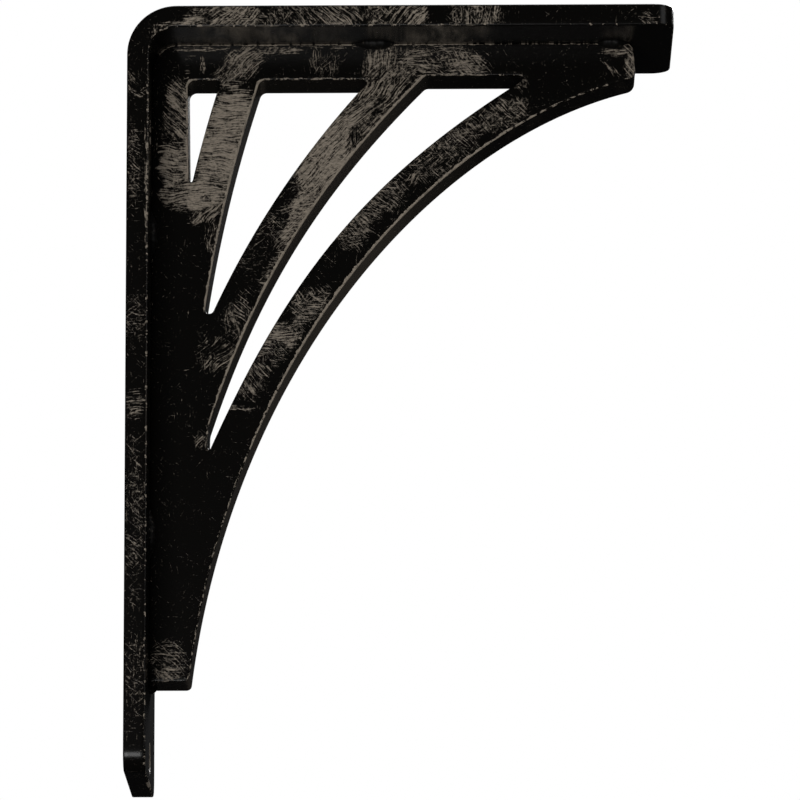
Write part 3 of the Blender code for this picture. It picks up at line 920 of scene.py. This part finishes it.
def weld_tree(welds, material):
    """Geometry Nodes that turn seam edges into tapered, rippled beads; returns the tree and its inputs."""
    tree = bpy.data.node_groups.new("weld_beads", "GeometryNodeTree")
    interface = tree.interface
    interface.new_socket("Geometry", in_out="OUTPUT", socket_type="NodeSocketGeometry")
    interface.new_socket("Geometry", in_out="INPUT", socket_type="NodeSocketGeometry")
    values = {}
    for name, kind, value in (
        ("Ripple Pitch", "NodeSocketFloat", welds.pitch),
        ("Ripple Height", "NodeSocketFloat", welds.ripple),
        ("Roughness", "NodeSocketFloat", welds.roughness),
        ("Rings", "NodeSocketInt", welds.rings),
        ("Material", "NodeSocketMaterial", material),
    ):
        values[interface.new_socket(name, in_out="INPUT", socket_type=kind).identifier] = value
    graph = Graph(tree)
    given = graph.node("NodeGroupInput").outputs
    curve = graph.node("GeometryNodeMeshToCurve", {"Mesh": given["Geometry"]}).outputs[0]
    curve = graph.node("GeometryNodeResampleCurve", {"Curve": curve, "Count": given["Rings"]}).outputs[0]
    way = graph.node("GeometryNodeSplineParameter").outputs
    ends = graph.math("ABSOLUTE", graph.math("MULTIPLY_ADD", way["Factor"], 2.0, -1.0))
    taper = graph.ramp(graph.math("SUBTRACT", 1.0, ends), -0.1, 0.7)
    ripples = graph.math("DIVIDE", way["Length"], given["Ripple Pitch"])
    wave = graph.math("SINE", graph.math("MULTIPLY", ripples, 2 * math.pi))
    wave = graph.math("MULTIPLY_ADD", wave, given["Ripple Height"], 1.0)
    radius = graph.math("MULTIPLY", graph.math("MULTIPLY", taper, wave), graph.named("leg", "FLOAT"))
    profile = graph.node("GeometryNodeCurvePrimitiveCircle", {"Resolution": 20, "Radius": 1.0}).outputs[0]
    inputs = {"Curve": curve, "Profile Curve": profile, "Scale": radius, "Fill Caps": True}
    beads = graph.node("GeometryNodeCurveToMesh", inputs).outputs[0]
    spot = graph.node("GeometryNodeInputPosition").outputs[0]
    seam = graph.named("seam", "FLOAT_VECTOR")
    off = graph.vector("SUBTRACT", {0: spot, 1: seam})
    wide = graph.vector("MULTIPLY_ADD", {0: off, 1: graph.named("spread", "FLOAT_VECTOR"), 2: seam})
    uneven = graph.noise(spot, scale=700.0).outputs["Color"]
    uneven = graph.vector("SUBTRACT", {0: uneven, 1: (0.5, 0.5, 0.5)})
    uneven = graph.vector("SCALE", {0: uneven, "Scale": given["Roughness"]})
    inputs = {"Geometry": beads, "Position": wide, "Offset": uneven}
    beads = graph.node("GeometryNodeSetPosition", inputs).outputs[0]
    beads = graph.node("GeometryNodeSetShadeSmooth", {"Geometry": beads}).outputs[0]
    beads = graph.node("GeometryNodeRealizeInstances", {"Geometry": beads}).outputs[0]
    inputs = {"Geometry": beads, "Material": given["Material"]}
    beads = graph.node("GeometryNodeSetMaterial", inputs).outputs[0]
    graph.node("NodeGroupOutput", {"Geometry": beads})
    return tree, values


def weld_seams(bar, plate, welds):
    """(start, end, leg on the plate, spread) of every bead; spread widens a bead's leg on the bar."""
    side = plate.thickness / 2
    wide = (1.0, welds.leg_on_bar / welds.leg_on_plate, 1.0)
    seams = []
    for y in (-side, side):
        for middle, length in SHELF_TACKS:
            start, end = (middle - length / 2) * MM, (middle + length / 2) * MM
            height = TOP - bar.thickness
            seams.append(((start, y, height), (end, y, height), welds.leg_on_plate, wide))
        for middle, length in WALL_TACKS:
            start, end = TOP + (middle - length / 2) * MM, TOP + (middle + length / 2) * MM
            seams.append(((bar.thickness, y, start), (bar.thickness, y, end), welds.leg_on_plate, wide))
    foot = PLATE_LOW.z + welds.foot_leg
    inner = side - welds.foot_leg / 2
    start, end = (bar.thickness, -inner, foot), (bar.thickness, inner, foot)
    seams.append((start, end, welds.foot_leg, (1.0, 1.0, 1.0)))
    return seams


def weld_mesh(seams, welds, material):
    """One plain mesh of all the beads."""
    mesh = bpy.data.meshes.new("weld_seams")
    spots = [spot for start, end, _, _ in seams for spot in (start, end)]
    mesh.from_pydata(spots, [(2 * index, 2 * index + 1) for index in range(len(seams))], [])
    columns = (
        ("leg", "FLOAT", "value", [leg for _, _, leg, _ in seams for _ in range(2)]),
        ("seam", "FLOAT_VECTOR", "vector", [value for spot in spots for value in (0.0, spot[1], 0.0)]),
        ("spread", "FLOAT_VECTOR", "vector", [value for *_, spread in seams for value in spread * 2]),
    )
    for label, kind, field, column in columns:
        mesh.attributes.new(label, kind, "POINT").data.foreach_set(field, column)
    tool = bpy.data.objects.new("weld_seams", mesh)
    bpy.context.scene.collection.objects.link(tool)
    tree, values = weld_tree(welds, material)
    modifier = tool.modifiers.new("beads", "NODES")
    modifier.node_group = tree
    for identifier, value in values.items():
        modifier[identifier] = value
    made = bpy.data.meshes.new_from_object(tool.evaluated_get(bpy.context.evaluated_depsgraph_get()))
    bpy.data.objects.remove(tool)
    return made


def finish_piece(obj, replaced):
    """Tie a piece to the frame, and hide the CAD node that it stands for."""
    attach(obj, BODY)
    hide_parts(replaced)


def lacquer_for(scene):
    return bpy.data.materials.get("worn_lacquer") or worn_lacquer(scene.bracket_finish)


class BRACKET_OT_bent_bar(bpy.types.Operator):
    """Make the bent flat bar with its screw holes"""

    bl_idname = "bracket.bent_bar"
    bl_label = "Bent Bar"

    def execute(self, context):
        bar = context.scene.bracket_bar
        slab = Slab(bar_outlines(bar), bar.thickness, bar.arris, bar.grain)
        half = BAR_HIGH.y

        def side_lay(corners, lay):
            if all(abs(abs(y) - half) < bar.end_corner * SIDE_SHARE for _, y, _ in corners):
                shift = SIDE_SHIFT if corners[0][1] > 0 else 0.0
                return [(x + shift, z) for x, _, z in corners]
            return lay

        obj = slab_object("lacquered_bar", slab, lambda *flat: bent(bar, *flat), side_lay, bar_wear)
        obj.data.materials.append(lacquer_for(context.scene))
        finish_piece(obj, "bent_bar")
        return {"FINISHED"}


class BRACKET_OT_pierced_plate(bpy.types.Operator):
    """Make the pierced plate"""

    bl_idname = "bracket.pierced_plate"
    bl_label = "Pierced Plate"

    def execute(self, context):
        scene = context.scene
        plate = scene.bracket_plate
        windows = (first_window(), second_window(), third_window())
        outlines = [plate_outline(scene.bracket_bar), *(window[::-1] for window in windows)]
        slab = Slab(outlines, plate.thickness, plate.arris, plate.grain)
        obj = slab_object(
            "lacquered_plate",
            slab,
            lambda reach, drop, depth: (reach, depth - plate.thickness / 2, drop + TOP),
            lambda corners, lay: lay,
            plate_wear,
        )
        obj.data.materials.append(lacquer_for(scene))
        finish_piece(obj, "pierced_plate")
        return {"FINISHED"}


class BRACKET_OT_weld_beads(bpy.types.Operator):
    """Make the tack welds along the seams on both sides of the plate"""

    bl_idname = "bracket.weld_beads"
    bl_label = "Weld Beads"

    def execute(self, context):
        scene = context.scene
        seams = weld_seams(scene.bracket_bar, scene.bracket_plate, scene.bracket_welds)
        mesh = weld_mesh(seams, scene.bracket_welds, weld_lacquer(scene.bracket_finish))
        obj = bpy.data.objects.new("weld_beads", mesh)
        scene.collection.objects.link(obj)
        finish_piece(obj, "pierced_plate")
        return {"FINISHED"}


class BRACKET_OT_stage(bpy.types.Operator):
    """Set up the camera, the lights, the floor and the backdrop"""

    bl_idname = "bracket.stage"
    bl_label = "Stage"

    def execute(self, context):
        scene = context.scene
        stage = scene.bracket_stage
        scene.view_settings.view_transform = "Standard"
        add_camera(scene, stage)
        add_world(scene, stage)
        add_floor(scene, stage)
        for name, place, size, power in (
            ("key_light", stage.key_place, stage.key_size, stage.key_power),
            ("fill_light", stage.fill_place, stage.fill_size, stage.fill_power),
            ("top_light", stage.top_place, stage.top_size, stage.top_power),
            ("rim_light", stage.rim_place, stage.rim_size, stage.rim_power),
        ):
            add_light(scene, name, Vector(place), Vector(stage.aim), size, power)
        return {"FINISHED"}


def add_camera(scene, stage):
    camera = bpy.data.cameras.new("camera")
    camera.lens = stage.lens
    camera.sensor_width = 36.0
    obj = bpy.data.objects.new("camera", camera)
    obj.location = stage.camera_place
    obj.rotation_euler = stage.camera_turn
    scene.collection.objects.link(obj)
    scene.camera = obj


def add_world(scene, stage):
    """White behind the object, soft light from all round, and a dim surround for the lacquer to mirror."""
    world = bpy.data.worlds.new("backdrop")
    world.use_nodes = True
    graph = Graph(world.node_tree)
    background = world.node_tree.nodes["Background"]
    rays = graph.node("ShaderNodeLightPath").outputs
    soft = graph.math("MULTIPLY_ADD", rays["Is Diffuse Ray"], stage.ambient - stage.mirrored, stage.mirrored)
    strength = graph.math("MAXIMUM", rays["Is Camera Ray"], soft)
    graph.join(strength, background.inputs["Strength"])
    background.inputs["Color"].default_value = (1.0, 1.0, 1.0, 1.0)
    scene.world = world


def add_floor(scene, stage):
    """Pale floor far below the bracket, so wide that its edges stay out of sight."""
    half = stage.floor_reach
    height = stage.floor_height
    mesh = bpy.data.meshes.new("floor")
    corners = ((-half, -half), (half, -half), (half, half), (-half, half))
    mesh.from_pydata([(x, y, height) for x, y in corners], [], [(0, 1, 2, 3)])
    obj = bpy.data.objects.new("floor", mesh)
    material, _, shader = new_material("floor")
    shader.inputs["Base Color"].default_value = (*stage.floor_colour, 1.0)
    shader.inputs["Roughness"].default_value = 0.9
    shader.inputs["Emission Color"].default_value = (1.0, 1.0, 1.0, 1.0)
    shader.inputs["Emission Strength"].default_value = stage.floor_glow
    mesh.materials.append(material)
    obj.visible_glossy = False
    obj.visible_diffuse = False
    scene.collection.objects.link(obj)
    obj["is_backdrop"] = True


def add_light(scene, name, place, aim, size, power):
    light = bpy.data.lights.new(name, "AREA")
    light.size = size
    light.energy = power
    obj = bpy.data.objects.new(name, light)
    obj.location = place
    obj.rotation_euler = (place - aim).to_track_quat("Z", "Y").to_euler()
    obj.visible_camera = False
    scene.collection.objects.link(obj)


class VIEW3D_PT_bracket(bpy.types.Panel):
    """Steps that make the bracket"""

    bl_label = "Wrought Iron Bracket"
    bl_idname = "VIEW3D_PT_bracket"
    bl_space_type = "VIEW_3D"
    bl_region_type = "UI"
    bl_category = "Bracket"

    def draw(self, context):
        layout = self.layout
        for step in STEPS:
            layout.operator(step.bl_idname)


STEPS = (BRACKET_OT_bent_bar, BRACKET_OT_pierced_plate, BRACKET_OT_weld_beads, BRACKET_OT_stage)
GROUPS = {
    "bracket_bar": BracketBar,
    "bracket_plate": BracketPlate,
    "bracket_welds": BracketWelds,
    "bracket_finish": BracketFinish,
    "bracket_stage": BracketStage,
}


def register():
    for group in GROUPS.values():
        bpy.utils.register_class(group)
    for name, group in GROUPS.items():
        setattr(bpy.types.Scene, name, PointerProperty(type=group))
    for cls in (*STEPS, VIEW3D_PT_bracket):
        bpy.utils.register_class(cls)


def unregister():
    for cls in (VIEW3D_PT_bracket, *reversed(STEPS)):
        bpy.utils.unregister_class(cls)
    for name, group in GROUPS.items():
        delattr(bpy.types.Scene, name)
        bpy.utils.unregister_class(group)


def main():
    register()
    bpy.ops.bracket.bent_bar()
    bpy.ops.bracket.pierced_plate()
    bpy.ops.bracket.weld_beads()
    bpy.ops.bracket.stage()
    boxes = {"cad": CAD_BOX, "visual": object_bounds()}
    sizes = {name: [list(corner) for corner in box] for name, box in boxes.items()}


if __name__ == "__main__":
    main()
